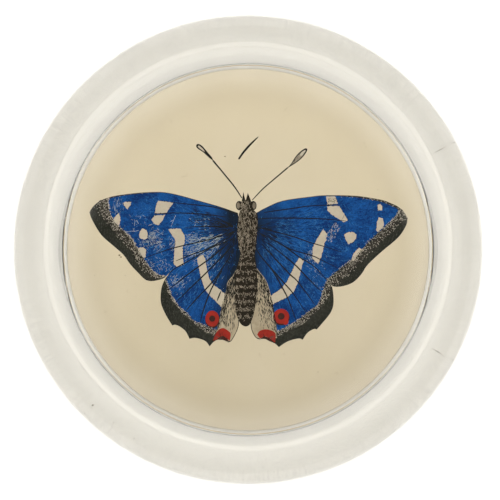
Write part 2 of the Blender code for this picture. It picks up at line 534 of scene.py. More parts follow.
# The longer scratches of the left wing, and how they break up and waver, in the same pixels
SCRATCHES = [
    ((125, 231.8), (138.6, 230.8)), ((134.8, 219.4), (133.6, 231.2)),
    ((135.4, 219), (138.4, 223.6)), ((176.6, 213.6), (171, 226.6)),
    ((170.4, 221.4), (174.4, 219)), ((157.6, 231.8), (163, 234.6)),
    ((145.4, 226.6), (154.6, 223.2)),
]
SCRATCH_STEP_PX = 1.6
SCRATCH_SHAKE_PX = 0.4

# Where strokes start, as shares of the way across a band, and how much farther stipple aims
STIPPLE_SPAN, STIPPLE_AIM = (-0.3, 1.1), 0.2
GRAIN_SPAN = (0.0, 0.85)

# The dark edge at the wing's front, as shares of its width: its middle, its dots and its tips
COSTA_SHIFT, COSTA_SPAN, COSTA_TIPS = 0.4, (0.2, 0.9), (0.2, 1.0)

# How far strokes stray from their direction, in radians
STIPPLE_STRAY = 0.6
DASH_STRAY = 0.4
HATCH_BEND = 0.03


def draw_margin_stipple(sheet, wing, rng, count):
    """Short strokes across the band between the black and the blue, palest beside the blue."""
    dark, blue = smooth(wing["stipple_edge"], 8), smooth(wing["blue_edge"], 8)
    for _ in range(count):
        along = rng.random()
        share = rng.uniform(*STIPPLE_SPAN)
        start = between(dark, blue, share, along)
        farther = between(dark, blue, share + STIPPLE_AIM, along)
        lean = math.atan2(farther[1] - start[1], farther[0] - start[0])
        tip = ahead(start, lean + rng.gauss(0, STIPPLE_STRAY), rng.uniform(*STIPPLE_LENGTH))
        ink = "mark" if rng.random() < PALE_STIPPLE + PALER_BESIDE_BLUE * share else "line"
        sheet.draw(stroke([start, tip], rng.uniform(*STIPPLE_WIDTH)), ink)


def draw_margin_grain(sheet, wing, outer, rng, count):
    """Faint engraved strokes over the black margin."""
    dark, edge = smooth(wing["stipple_edge"], 8), outline(*outer)
    for _ in range(count):
        along, share = rng.random(), rng.uniform(*GRAIN_SPAN)
        start = between(dark, edge, share, along)
        tip = between(dark, edge, share + rng.uniform(*GRAIN_SHARE), along)
        sheet.draw(stroke([start, tip], rng.uniform(*GRAIN_WIDTH)), "grain")


def draw_pale_edge(sheet, wing, rng):
    """Thin broken line of bare paper along the outer edge of the blue."""
    path = smooth(wing["blue_edge"], 6)
    for pair in zip(path, path[1:]):
        if rng.random() < PALE_EDGE_SHARE:
            sheet.draw(stroke(list(pair), rng.uniform(*PALE_EDGE_WIDTH), 0.5, 0.5), "mark")


def draw_dotted_patch(sheet, ends, width, rng, count):
    """Patch of pale dashes scattered along a line."""
    (ax, ay), (bx, by) = ends
    reach = math.hypot(bx - ax, by - ay)
    along = ((bx - ax) / reach, (by - ay) / reach)
    aside = ((ay - by) / reach, (bx - ax) / reach)
    for _ in range(count):
        far = rng.uniform(0, reach)
        share = rng.uniform(-1, 1)
        start = (ax + along[0] * far + aside[0] * share * width / 2,
                 ay + along[1] * far + aside[1] * share * width / 2)
        lean = math.atan2(along[1], along[0]) + rng.gauss(0, DASH_STRAY)
        tip = ahead(start, lean, rng.uniform(*DASH_LENGTH))
        ink = "mark" if rng.random() < PALE_DASH_SHARE else "light"
        sheet.draw(stroke([start, tip], rng.uniform(*DASH_WIDTH)), ink)


def draw_dots(sheet, box, rng, count):
    """Dark dots scattered over an upright box."""
    left, top, right, bottom = box
    for _ in range(count):
        centre = (rng.uniform(left, right), rng.uniform(top, bottom))
        dot = ellipse(centre, rng.uniform(*DOT_ACROSS), rng.uniform(*DOT_DOWN), count=7)
        sheet.draw(dot, "line")


def draw_costa_stipple(sheet, wing, rng, width, count):
    """Dark edge with pale dots along the front of the wing's outer half."""
    costa = smooth(wing["costa"], 12)
    costa = costa[len(costa) // 2:]
    path = [(x, y + COSTA_SHIFT * width) for x, y in costa]
    sheet.draw(stroke(path, width, *COSTA_TIPS), "stipple")
    for _ in range(count):
        x, y = rng.choice(costa)
        start = (x, y + rng.uniform(*COSTA_SPAN) * width)
        tip = (x + rng.uniform(*COSTA_REACH), start[1] + rng.uniform(*COSTA_RISE))
        sheet.draw(stroke([start, tip], rng.uniform(*COSTA_WIDTH)), rng.choice(("mark", "line")))


def on_blue(point, wing_loops, holes):
    """True if a point lies on a wing's blue wash and off its pale spots."""
    if not any(inside(point, loop) for loop in wing_loops):
        return False
    return not any(inside(point, hole) for hole in holes)


def draw_radial_hatch(sheet, root, allowed, rng, count, sides, reach, length, width, ink):
    """Fine strokes that fan out from a wing's root, on the blue only."""
    for _ in range(count):
        angle = math.radians(rng.uniform(*sides))
        start = rng.uniform(*reach)
        run = rng.uniform(*length)
        bend = rng.gauss(0, HATCH_BEND)
        path = [ahead(root, angle + bend * k / 3, start + run * k / 3) for k in range(4)]
        if allowed(path[0]) and allowed(path[3]):
            sheet.draw(stroke(path, rng.uniform(*width)), ink)


def draw_rubs(sheet, centre, spread, count, lean, scatter, ink, allowed, rng):
    """A patch of short scratches where the colour is rubbed away."""
    for _ in range(count):
        x, y = rng.gauss(centre[0], spread[0]), rng.gauss(centre[1], spread[1])
        tip = ahead((x, y), math.radians(rng.gauss(lean, scatter)), rng.uniform(*RUB_LENGTH))
        if allowed((x, y)) and allowed(tip):
            sheet.draw(stroke([(x, y), tip], rng.uniform(*RUB_WIDTH)), ink)


def draw_scratches(sheet, rng):
    """The longer scratches through the blue."""
    for start, end in SCRATCHES:
        steps = max(2, int(math.hypot(end[0] - start[0], end[1] - start[1]) / SCRATCH_STEP_PX))
        path = [tuple(a + (b - a) * k / steps + rng.uniform(-SCRATCH_SHAKE_PX, SCRATCH_SHAKE_PX)
                      for a, b in zip(start, end)) for k in range(steps + 1)]
        for pair in zip(path, path[1:]):
            if rng.random() < SCRATCH_SHARE:
                sheet.draw(stroke(list(pair), rng.uniform(*SCRATCH_WIDTH), 0.4, 0.4), "rub")


def curl(start, lean, bend, length):
    """A short curved path of four points."""
    path = [start]
    for _ in range(3):
        x, y = path[-1]
        path.append((x + math.cos(lean) * length / 3, y + math.sin(lean) * length / 3))
        lean += bend
    return path


# The pale middle of an eye: how far outward it lies, and its share of the eye across and down
EYE_MIDDLE = (0.9, 0.5, 0.68)

# Hairs and the abdomen's curls: their lean and its scatter in degrees, how much each of their
# steps bends, and their length and width in pixels of the photograph
HAIR_LEAN = 90
HAIR_SCATTER, HAIR_BEND = 20, (-0.6, 0.6)
HAIR_LENGTH, HAIR_WIDTH = (1.6, 4.2), (0.25, 0.5)
CURL_SCATTER, CURL_BEND = 40, (-1.0, 1.0)
CURL_LENGTH, CURL_WIDTH = (1.2, 2.8), (0.3, 0.55)

# Share of the hairs that is left out at the right side
BARER_RIGHT = 0.62


def draw_body(sheet, rng):
    """Dark body with pale curled hairs, in rows along the abdomen."""
    shift, across_share, down_share = EYE_MIDDLE
    for centre, across, down in EYES:
        sheet.draw(ellipse(centre, across, down), "body")
        side = -1 if centre[0] < HEAD[0][0] else 1
        middle = (centre[0] + shift * side, centre[1])
        sheet.draw(ellipse(middle, across * across_share, down * down_share), "eye")
    for palp in PALPS:
        sheet.draw(palp, "body")
    thorax = outline(THORAX + THORAX[:1])
    sheet.draw(outline(ABDOMEN + ABDOMEN[:1]), "body")
    sheet.draw(thorax, "body")
    sheet.draw(ellipse(*HEAD), "body")
    draw_hairs(sheet, thorax, rng, count=740, size=1.15)
    draw_hairs(sheet, ellipse(*HEAD), rng, count=150, size=0.8)
    draw_abdomen_rows(sheet, rng)


def draw_hairs(sheet, loop, rng, count, size):
    """Pale curled hairs scattered over a dark area, fewer on its right side."""
    xs = [x for x, _ in loop]
    ys = [y for _, y in loop]
    for _ in range(count):
        start = (rng.uniform(min(xs), max(xs)), rng.uniform(min(ys), max(ys)))
        share = (start[0] - min(xs)) / (max(xs) - min(xs))
        if rng.random() < share * BARER_RIGHT:
            continue
        path = curl(start, math.radians(rng.gauss(HAIR_LEAN, HAIR_SCATTER)),
                    rng.uniform(*HAIR_BEND), rng.uniform(*HAIR_LENGTH) * size)
        if inside(path[0], loop) and inside(path[-1], loop):
            sheet.draw(stroke(path, rng.uniform(*HAIR_WIDTH)), "hair")


# Rows of curls on the abdomen, in pixels of the photograph, and the power that draws them left
SEGMENTS = 9
FIRST_SEGMENT_PX = 256.0
SEGMENT_PITCH_PX = 7.5
SEGMENT_LEFT_PX = 235.5
SEGMENT_WIDTH_PX = 20.5
SEGMENT_SPREAD_PX = 1.35
CURLS_TO_SEGMENT = 64
CURLS_TO_LEFT = 1.3


def draw_abdomen_rows(sheet, rng):
    """Rows of pale curls across the abdomen, one to a segment, fewer on its right side."""
    loop = outline(ABDOMEN + ABDOMEN[:1])
    for row in range(SEGMENTS):
        y = FIRST_SEGMENT_PX + row * SEGMENT_PITCH_PX
        for _ in range(CURLS_TO_SEGMENT):
            x = SEGMENT_LEFT_PX + SEGMENT_WIDTH_PX * rng.random() ** CURLS_TO_LEFT
            start = (x, y + rng.gauss(0, SEGMENT_SPREAD_PX))
            path = curl(start, math.radians(rng.gauss(HAIR_LEAN, CURL_SCATTER)),
                        rng.uniform(*CURL_BEND), rng.uniform(*CURL_LENGTH))
            if inside(path[0], loop) and inside(path[-1], loop):
                sheet.draw(stroke(path, rng.uniform(*CURL_WIDTH)), "hair")


# Strokes over the fold panels, in pixels of the photograph and degrees, for the left side's 1 and
# the right side's -1
FOLD_STROKES = 1250
FOLD_TOP_PX = 262
FOLD_LENGTH_PX = 72
FOLD_WIDTH_PX = 16
FOLD_LEAN, FOLD_SCATTER = 6, 9
FOLD_SHORTEST, FOLD_LONGEST = 2.2, {1: 7.0, -1: 4.5}
FOLD_STROKE_WIDTH = (0.4, 0.9)

# How much thinner the strokes are at the panel's foot, and the share that is left out there
FOLD_THICK, FOLD_THINNER = 1.1, 0.45
FOLD_BARER = 0.5

# Powers that draw the strokes towards the panel's top, and towards the blue, less so at the top
FOLD_UPWARD = 1.4
FOLD_SIDEWAYS, FOLD_MORE_SIDEWAYS = 1.0, 1.2


def draw_fold_hatch(sheet, wing, rng, side):
    """Dark hatching over the cream fold panel, closest at its top and along the blue."""
    loop = smooth(wing["fold_edge"]) + wing["fold_rest"]
    crescent = outline(*wing["crescent"])
    edge = smooth(wing["fold_edge"], 8)
    for _ in range(FOLD_STROKES):
        down = rng.random() ** FOLD_UPWARD
        y = FOLD_TOP_PX + FOLD_LENGTH_PX * down
        near = min(edge, key=lambda point: abs(point[1] - y))
        power = FOLD_SIDEWAYS + FOLD_MORE_SIDEWAYS * down
        x = near[0] + side * FOLD_WIDTH_PX * rng.random() ** power
        lean = math.radians(90 + rng.gauss(side * FOLD_LEAN, FOLD_SCATTER))
        tip = ahead((x, y), lean, rng.uniform(FOLD_SHORTEST, FOLD_LONGEST[side]))
        if rng.random() < FOLD_BARER * down:
            continue
        if inside((x, y), loop) and inside(tip, loop) and not inside(tip, crescent):
            width = rng.uniform(*FOLD_STROKE_WIDTH) * (FOLD_THICK - FOLD_THINNER * down)
            sheet.draw(stroke([(x, y), tip], width), "line")


# The antennae: tips of the shafts, the club's pale core, and its strokes in pixels
SHAFT_TIPS = (0.7, 1.2)
CLUB_CORE = 0.68
CLUB_HATCH_STROKES = 150
CLUB_HATCH_PX = 0.45
CLUB_SPREAD = (-0.8, 0.8)
CLUB_REACH, CLUB_FALL = (-0.5, 0.5), (0.4, 1.2)


def draw_antennae(sheet, rng):
    """Thin shafts that end in long clubs with a hollow tip, one of them hatched."""
    for antenna in ANTENNAE:
        sheet.draw(stroke(smooth(antenna["shaft"]), antenna["width"], *SHAFT_TIPS), "line")
        club = outline(antenna["club"] + antenna["club"][:1])
        sheet.draw(club, "line")
        if antenna["hatched"]:
            hatch_club(sheet, club, rng)
        sheet.draw(antenna["hollow"], "pale")


def hatch_club(sheet, club, rng):
    """Pale core of an antenna's club, with short dark strokes."""
    middle = [sum(point[axis] for point in club) / len(club) for axis in (0, 1)]
    core = [tuple(m + (p - m) * CLUB_CORE for m, p in zip(middle, point)) for point in club]
    sheet.draw(core, "hair")
    for _ in range(CLUB_HATCH_STROKES):
        x, y = rng.choice(core)
        start = (x + rng.uniform(*CLUB_SPREAD), y + rng.uniform(*CLUB_SPREAD))
        tip = (start[0] + rng.uniform(*CLUB_REACH), start[1] + rng.uniform(*CLUB_FALL))
        if inside(start, core) and inside(tip, core):
            sheet.draw(stroke([start, tip], CLUB_HATCH_PX), "line")


# Strokes that fan out from a wing's root: how many, between which angles in degrees below the
# right-hand side, then reach, length and width in pixels of the photograph, and ink
HATCHES = {
    "left": [
        (700, (100, 204), (4, 48), (3, 10), (0.3, 0.55), "deep"),
        (300, (104, 202), (3, 38), (3, 12), (0.3, 0.5), "line"),
        (150, (184, 206), (6, 46), (3, 8), (0.3, 0.55), "line"),
        (300, (120, 200), (40, 110), (2, 6), (0.25, 0.45), "deep"),
        (460, (112, 200), (30, 100), (2, 7), (0.25, 0.45), "light"),
        (150, (138, 166), (18, 50), (2, 7), (0.22, 0.45), "rub"),
        (24, (166, 196), (28, 50), (1.5, 4), (0.22, 0.4), "rub"),
    ],
    "right": [
        (800, (-22, 76), (4, 56), (3, 10), (0.3, 0.5), "deep"),
        (130, (-22, 74), (3, 36), (4, 14), (0.25, 0.45), "line"),
        (300, (-16, 60), (40, 120), (2, 6), (0.25, 0.45), "deep"),
        (520, (-18, 72), (20, 100), (2, 7), (0.2, 0.35), "light"),
        (60, (20, 60), (14, 60), (2, 6), (0.2, 0.35), "light"),
    ],
}

# Rubbed patches: centre, spread, strokes, lean and its scatter in degrees, and ink
RUBS = {
    "left": [
        ((150, 236), (5.5, 4.5), 200, 60, 40, "rub"), ((197, 241), (8, 4), 130, 160, 16, "rub"),
        ((192, 252), (8, 5), 150, 155, 20, "rub"), ((188, 238), (3, 2), 40, 10, 40, "rub"),
        ((172, 241), (1.6, 6), 40, 80, 30, "rub"), ((158, 264), (8, 4), 80, 120, 50, "rub"),
        ((160, 246), (4, 4), 34, 110, 40, "rub"), ((146, 250), (4, 6), 24, 60, 40, "rub"),
        ((118, 206), (3, 5), 60, 95, 20, "rub"), ((178, 281), (5, 4), 110, 140, 20, "rub"),
        ((208, 260), (6, 6), 70, 135, 14, "rub"), ((138, 222), (7, 5), 24, 60, 40, "rub"),
        ((215, 278), (6, 6), 30, 125, 14, "rub"), ((190, 222), (6, 8), 20, 70, 40, "light"),
        ((150, 205), (24, 4), 60, 80, 40, "light"), ((200, 300), (10, 10), 60, 130, 20, "light"),
    ],
    "right": [
        ((311, 255), (3, 3.5), 80, 60, 30, "rub"), ((341, 250), (7, 5), 50, 60, 40, "light"),
        ((300, 246), (8, 8), 20, 40, 20, "light"), ((317, 270), (5, 8), 26, 50, 20, "rub"),
        ((312, 280), (8, 10), 120, 50, 20, "light"), ((315, 226), (6, 8), 40, 40, 30, "light"),
        ((290, 240), (16, 10), 70, 30, 20, "light"),
    ],
}

# The odd marks of the right wings, in pixels of the photograph
DOTTED_BLOCK = (328.2, 198.2, 335.2, 202.6)
DOTTED_PATCH = ((338.6, 223.8), (327.6, 240.4))
DOTTED_PATCH_PX = 8.0
RING_DRIP = ((285.6, 321.8), 2.9, 3.2)

# Width and strokes of the dark edge at the front of each forewing
COSTA_STIPPLE = {"left": (1.3, 60), "right": (2.3, 130)}

# Light specks all over the blue: how many, where, and each as a rubbed patch of one stroke
SPECKLES = 400
SPECKLE_SPAN = {"left": (105, 240), "right": (254, 400)}
SPECKLE_RISE = (196, 330)
SPECKLE = ((0.1, 0.1), 1, 90, 40, "light")


def draw_wing_pair(sheet, forewing, hindwing, side, seed):
    """Both wings of one side, with the strokes engraved on them."""
    rng = random.Random(seed)
    draw_hindwing(sheet, hindwing, rng)
    draw_fold_hatch(sheet, hindwing, rng, 1 if side == "left" else -1)
    draw_forewing(sheet, forewing, rng)
    boundary = smooth(forewing["blue_edge"])
    fore_blue = base_part(forewing["costa"], boundary) + boundary + smooth(forewing["inner"])[1:]
    hind_blue = (smooth(hindwing["blue_edge"]) + smooth(hindwing["fold_edge"])
                 + smooth(hindwing["top"])[:-1])
    centre, across, down, _ = hindwing["ring"]
    spots = forewing["spots"] + hindwing["spots"] + [ellipse(centre, across + 1, down + 1)]

    def allowed(point):
        return on_blue(point, (fore_blue, hind_blue), spots)

    for hatch in HATCHES[side]:
        draw_radial_hatch(sheet, WING_ROOTS[side], allowed, rng, *hatch)
    for rub in RUBS[side]:
        draw_rubs(sheet, *rub, allowed, rng)
    for _ in range(SPECKLES):
        point = (rng.uniform(*SPECKLE_SPAN[side]), rng.uniform(*SPECKLE_RISE))
        draw_rubs(sheet, point, *SPECKLE, allowed, rng)
    draw_margin_grain(sheet, forewing, [forewing["margin"]], rng, count=420)
    draw_margin_grain(sheet, hindwing, hindwing["outer"][:4], rng, count=340)
    draw_costa_stipple(sheet, forewing, rng, *COSTA_STIPPLE[side])
    draw_margin_stipple(sheet, forewing, rng, count=1400)
    draw_margin_stipple(sheet, hindwing, rng, count=900)
    if side == "left":
        draw_pale_edge(sheet, forewing, rng)
        draw_scratches(sheet, rng)
    else:
        draw_dots(sheet, DOTTED_BLOCK, rng, count=34)
        draw_dotted_patch(sheet, DOTTED_PATCH, DOTTED_PATCH_PX, rng, count=130)
        sheet.draw(ellipse(*RING_DRIP, count=14), "red")
    draw_veins(sheet, forewing, FORE_VEIN_PX)
    draw_veins(sheet, hindwing, HIND_VEIN_PX)


# Inks, in the order of the print's material slots
INK_ORDER = ("paper", "black", "stipple", "blue", "pale", "fold", "red", "brown", "body", "line",
             "mark", "hair", "eye", "light", "deep", "rub", "speck", "grain")


def draw_butterfly(sheet):
    """The whole figure, from the wings to the antennae, and the specks of the paper."""
    for centre, size in PAPER_SPECKS:
        sheet.draw(ellipse(centre, size, size * SPECK_HEIGHT, count=9), "speck")
    draw_wing_pair(sheet, LEFT_FOREWING, LEFT_HINDWING, "left", seed=3)
    draw_wing_pair(sheet, RIGHT_FOREWING, RIGHT_HINDWING, "right", seed=5)
    draw_antennae(sheet, random.Random(11))
    draw_body(sheet, random.Random(7))
    sheet.draw(stroke(smooth(PEN_TICK), PEN_TICK_PX, *PEN_TICK_TIPS), "line")


# The print's disc: its sides, how closely it is cut, and what counts as its edge and as flat
PRINT_SIDES = 192
CUT_PRECISION = 1e-6
EDGE_FROM = 0.9995
FLAT_ANGLE = 0.02


def merge_same_ink(mesh):
    """Join flat neighbouring faces of one ink, and cut what is left into triangles."""
    shape = bmesh.new()
    shape.from_mesh(mesh)
    bmesh.ops.dissolve_limit(shape, angle_limit=FLAT_ANGLE, use_dissolve_boundaries=False,
                             verts=shape.verts, edges=shape.edges, delimit={"MATERIAL"})
    bmesh.ops.triangulate(shape, faces=shape.faces)
    shape.to_mesh(mesh)
    shape.free()


def make_print():
    """Closed paper disc whose top face is divided along the edges of the inks."""
    sheet = Sheet()
    radius = PRINT_RADIUS / MM
    sheet.lay(ellipse((0.0, 0.0), radius, radius, count=PRINT_SIDES), "paper")
    draw_butterfly(sheet)
    points, _, faces, _, _, origins = geometry.delaunay_2d_cdt(
        [Vector(point) for point in sheet.points], [], sheet.loops, 1, CUT_PRECISION)
    vertices = [(x * MM, y * MM, PRINT_TOP) for x, y in points]
    inks = [INK_ORDER.index(sheet.inks[max(origin)]) for origin in origins]
    edge = sorted((k for k, (x, y) in enumerate(points) if math.hypot(x, y) > radius * EDGE_FROM),
                  key=lambda k: math.atan2(points[k][1], points[k][0]))
    lower = len(vertices)
    vertices += [(points[k][0] * MM, points[k][1] * MM, PRINT_BOTTOM) for k in edge]
    faces = [list(face) for face in faces]
    for k in range(len(edge)):
        after = (k + 1) % len(edge)
        faces.append([edge[after], edge[k], lower + k, lower + after])
    faces.append([lower + k for k in range(len(edge))][::-1])
    inks += [0] * (len(edge) + 1)
    materials = [INKS[ink] for ink in INK_ORDER]
    mesh = make_mesh("print_with_butterfly", vertices, faces, materials, inks)
    merge_same_ink(mesh)
    print("print:", len(sheet.loops), "areas,", len(mesh.polygons), "faces")
    add_piece("print_with_butterfly", mesh, "butterfly_print")


def make_mesh(name, vertices, faces, materials, slots=None):
    """A mesh with its materials, and each face's material where there are several."""
    mesh = bpy.data.meshes.new(name)
    mesh.from_pydata(vertices, [], faces)
    if slots:
        mesh.polygons.foreach_set("material_index", slots)
    for material in materials:
        mesh.materials.append(material)
    return mesh


def add_object(name, data):
    """Put a mesh or a camera in the scene."""
    thing = bpy.data.objects.new(name, data)
    bpy.context.scene.collection.objects.link(thing)
    return thing


def add_piece(name, mesh, replaced):
    """Put a mesh in the scene as a piece of the object that stands for a CAD node."""
    piece = add_object(name, mesh)
    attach(piece, "root")
    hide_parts(replaced)


def band(lower, upper):
    """Faces between two rings of vertices."""
    ring = zip(lower, upper, [*lower[1:], lower[0]], [*upper[1:], upper[0]])
    return [[a, c, d, b] for a, b, c, d in ring]


# Materials

class Nodes:
    """A material's node tree, with short ways to add and join nodes."""

    def __init__(self, name):
        self.material = bpy.data.materials.new(name)
        self.material.use_nodes = True
        self.tree = self.material.node_tree
        self.shader = self.tree.nodes["Principled BSDF"]

    def add(self, kind, **inputs):
        """A new node, with its sockets set or joined by name."""
        node = self.tree.nodes.new(kind)
        for name, value in inputs.items():
            self.put(node, name.replace("_", " "), value)
        return node

    def put(self, node, name, value):
        """Set a socket to a value, or join it to another node's socket."""
        socket = node.inputs[name]
        if isinstance(value, bpy.types.NodeSocket):
            self.tree.links.new(value, socket)
        else:
            socket.default_value = value

    def math(self, operation, first, second=0.0, clamp=False):
        """Result of a sum or a function of one or two values."""
        node = self.tree.nodes.new("ShaderNodeMath")
        node.operation = operation
        node.use_clamp = clamp
        self.put(node, 0, first)
        self.put(node, 1, second)
        return node.outputs[0]

    def noise(self, vector, scale, detail=3.0, rough=0.55):
        """Noise between 0 and 1, with scale waves to the metre."""
        node = self.add("ShaderNodeTexNoise", Vector=vector, Scale=scale, Detail=detail,
                        Roughness=rough)
        return node.outputs["Fac"]

    def spread(self, value, low, high):
        """Stretch the values from low to high over 0 to 1."""
        node = self.tree.nodes.new("ShaderNodeMapRange")
        self.put(node, "Value", value)
        self.put(node, "From Min", low)
        self.put(node, "From Max", high)
        return node.outputs["Result"]

    def mix(self, share, first, second):
        """Colour a share of the way from the first to the second."""
        node = self.tree.nodes.new("ShaderNodeMix")
        node.data_type = "RGBA"
        self.put(node, "Factor", share)
        for socket, value in (("A", first), ("B", second)):
            where = next(s for s in node.inputs if s.name == socket and s.type == "RGBA")
            if isinstance(value, bpy.types.NodeSocket):
                self.tree.links.new(value, where)
            else:
                where.default_value = (*value, 1.0)
        return next(s for s in node.outputs if s.type == "RGBA")

    def place(self):
        """Object coordinates, in metres."""
        return self.add("ShaderNodeTexCoord").outputs["Object"]

    def split(self, vector):
        """The three parts of a vector."""
        return self.add("ShaderNodeSeparateXYZ", Vector=vector).outputs

    def length(self, vector):
        """How long a vector is."""
        node = self.add("ShaderNodeVectorMath", Vector=vector)
        node.operation = "LENGTH"
        return node.outputs["Value"]

    def bump(self, height, strength, distance):
        """Let a height shade the surface."""
        node = self.add("ShaderNodeBump", Strength=strength, Distance=distance, Height=height)
        self.put(self.shader, "Normal", node.outputs["Normal"])


def matt_nodes(name):
    """Nodes of a surface that lies against the glass and so has no gloss of its own."""
    nodes = Nodes(name)
    nodes.put(nodes.shader, "Roughness", 1.0)
    nodes.put(nodes.shader, "Specular IOR Level", 0.0)
    return nodes


# How coarse the blotches of an ink are, and which of the noise's values its two colours span
BLOTCH_MM = 3.0
GRAIN_VALUES = (0.35, 0.7)
BLOTCH_VALUES = (0.3, 0.7)


def speckled(name, colour, second, grain_mm):
    """Ink that varies between two colours in fine grain and in broad blotches."""
    nodes = matt_nodes(name)
    place = nodes.place()
    grain = nodes.spread(nodes.noise(place, 1 / (grain_mm * MM)), *GRAIN_VALUES)
    blotch = nodes.spread(nodes.noise(place, 1 / (BLOTCH_MM * MM)), *BLOTCH_VALUES)
    mixed = nodes.math("MULTIPLY", nodes.math("ADD", grain, blotch), 0.5, clamp=True)
    nodes.put(nodes.shader, "Base Color", nodes.mix(mixed, colour, second))
    return nodes.material


# The blue: where it springs from, how far it is dark, and its colours
WING_ROOT = (1.6 * MM, 4.4 * MM)
BODY_HALF_WIDTH = 1.8 * MM
DARK_BESIDE_BODY = 4.6 * MM
DARK_AROUND_ROOT = 8.5 * MM
DARKER_LEFT = 1.3 * MM
DARK_UNEVEN = -1.6 * MM
DARK_POWER = 1.1
WASH_FADES = (16 * MM, 8 * MM)
WASH_FADE = 0.3
WASH_SPREAD = (0.42, 0.98)
WASH_COLOURS = ((0.0035, 0.022, 0.112), (0.012, 0.118, 0.44))
ROOT_COLOUR = (0.007, 0.015, 0.032)

# Streaks along the veins: how fine they are around the root and away from it, and their weight
STREAKS = ((210.0, 900.0, 0.38), (40.0, 260.0, 0.20), (46.0, 5200.0, 0.31))
STREAK_NOISE, STREAK_VALUES = (1.0, 3.0, 0.6), (0.25, 0.75)

# Mottling: each noise's waves to the metre, detail and roughness, the values it spans, its weight
WASH_BLOTCH, WASH_BLOTCH_VALUES, BLOTCH_WEIGHT = (300.0, 4.0, 0.6), (0.35, 0.65), 0.25
WASH_GRAIN, WASH_GRAIN_VALUES, GRAIN_WEIGHT = (4200.0, 3.0, 0.7), (0.3, 0.7), 0.22


def blue_wash():
    """Blue that runs to blue-black beside the body, mottled and streaked along the veins."""
    nodes = matt_nodes("blue_wash")
    place = nodes.place()
    parts = nodes.split(place)
    across = nodes.math("SUBTRACT", nodes.math("ABSOLUTE", parts["X"]), WING_ROOT[0])
    up = nodes.math("SUBTRACT", parts["Y"], WING_ROOT[1])
    angle = nodes.math("ARCTAN2", up, across)
    away = nodes.math("SQRT", nodes.math("ADD", nodes.math("MULTIPLY", across, across),
                                         nodes.math("MULTIPLY", up, up)))
    blotch = nodes.spread(nodes.noise(place, *WASH_BLOTCH), *WASH_BLOTCH_VALUES)
    light = nodes.math("MULTIPLY", blotch, BLOTCH_WEIGHT)
    streaks = []
    for turns, steps, weight in STREAKS:
        polar = nodes.add("ShaderNodeCombineXYZ", X=nodes.math("MULTIPLY", angle, turns),
                          Y=nodes.math("MULTIPLY", away, steps), Z=0.0)
        streak = nodes.spread(nodes.noise(polar.outputs[0], *STREAK_NOISE), *STREAK_VALUES)
        light = nodes.math("ADD", light, nodes.math("MULTIPLY", streak, weight))
        streaks.append(streak)
    grain = nodes.spread(nodes.noise(place, *WASH_GRAIN), *WASH_GRAIN_VALUES)
    light = nodes.math("ADD", light, nodes.math("MULTIPLY", grain, GRAIN_WEIGHT))
    nearer = nodes.math("MULTIPLY", nodes.spread(away, *WASH_FADES), WASH_FADE)
    light = nodes.math("ADD", nodes.spread(light, *WASH_SPREAD),
                       nodes.math("SUBTRACT", nearer, WASH_FADE / 2))
    wash = nodes.mix(light, *WASH_COLOURS)
    uneven = nodes.math("MULTIPLY", streaks[1], DARK_UNEVEN)
    aside = nodes.math("ABSOLUTE", nodes.math("ADD", parts["X"], DARKER_LEFT))
    beside = nodes.math("ADD", nodes.math("SUBTRACT", aside, BODY_HALF_WIDTH), uneven)
    beside = nodes.spread(beside, DARK_BESIDE_BODY, 0.0)
    around = nodes.spread(nodes.math("ADD", away, uneven), DARK_AROUND_ROOT, 0.0)
    shade = nodes.math("POWER", nodes.math("MAXIMUM", beside, around), DARK_POWER, clamp=True)
    nodes.put(nodes.shader, "Base Color", nodes.mix(shade, wash, ROOT_COLOUR))
    return nodes.material


# The paper: its colours, how it darkens towards its edge, and a painted shade that darkens it
# towards its foot
PAPER_COLOURS = ((0.682, 0.609, 0.468), (0.714, 0.643, 0.510))
FIBRE_COLOUR = (0.42, 0.36, 0.24)
FIBRE_SHARE = 0.10
FOXING_COLOUR = (0.40, 0.32, 0.19)
FOXING_SHARE = 0.18
FIBRE_BUMP, FIBRE_DEPTH = 0.1, 0.02 * MM
TONING_AND_PAINTED_SHADE_COLOUR = (0.02, 0.015, 0.01)
EDGE_TONING_FROM = 28 * MM
EDGE_TONING = 0.11
FOOT_PAINTED_SHADE = 0.18

# Its noises: waves to the metre, detail and roughness, and the values that each spans
FIBRES, FIBRE_VALUES = (5200.0, 4.0, 0.6), (0.3, 0.8)
TONE, TONE_VALUES = (70.0, 3.0, 0.5), (0.3, 0.7)
FOXING, FOXING_VALUES = (900.0, 2.0, 0.5), (0.68, 0.8)


def paper_surface():
    """Old cream paper with faint fibres, broad toning, and a painted shade towards its foot."""
    nodes = matt_nodes("cream_paper")
    place = nodes.place()
    fibre = nodes.noise(place, *FIBRES)
    tone = nodes.noise(place, *TONE)
    foxing = nodes.spread(nodes.noise(place, *FOXING), *FOXING_VALUES)
    fibres = nodes.math("MULTIPLY", nodes.spread(fibre, *FIBRE_VALUES), FIBRE_SHARE)
    colour = nodes.mix(nodes.spread(tone, *TONE_VALUES), *PAPER_COLOURS)
    colour = nodes.mix(fibres, colour, FIBRE_COLOUR)
    colour = nodes.mix(nodes.math("MULTIPLY", foxing, FOXING_SHARE), colour, FOXING_COLOUR)
    edge = nodes.spread(nodes.length(place), EDGE_TONING_FROM, PRINT_RADIUS)
    # Painted shade: the paper is darker towards the foot of the picture, as if lit more from its
    # top
    foot = nodes.spread(nodes.split(place)["Y"], PRINT_RADIUS, -PRINT_RADIUS)
    foot = nodes.math("POWER", foot, 2.0)
    toning = nodes.math("ADD", nodes.math("MULTIPLY", edge, EDGE_TONING),
                        nodes.math("MULTIPLY", foot, FOOT_PAINTED_SHADE))
    nodes.put(nodes.shader, "Base Color", nodes.mix(toning, colour, TONING_AND_PAINTED_SHADE_COLOUR))
    nodes.bump(fibre, FIBRE_BUMP, FIBRE_DEPTH)
    return nodes.material


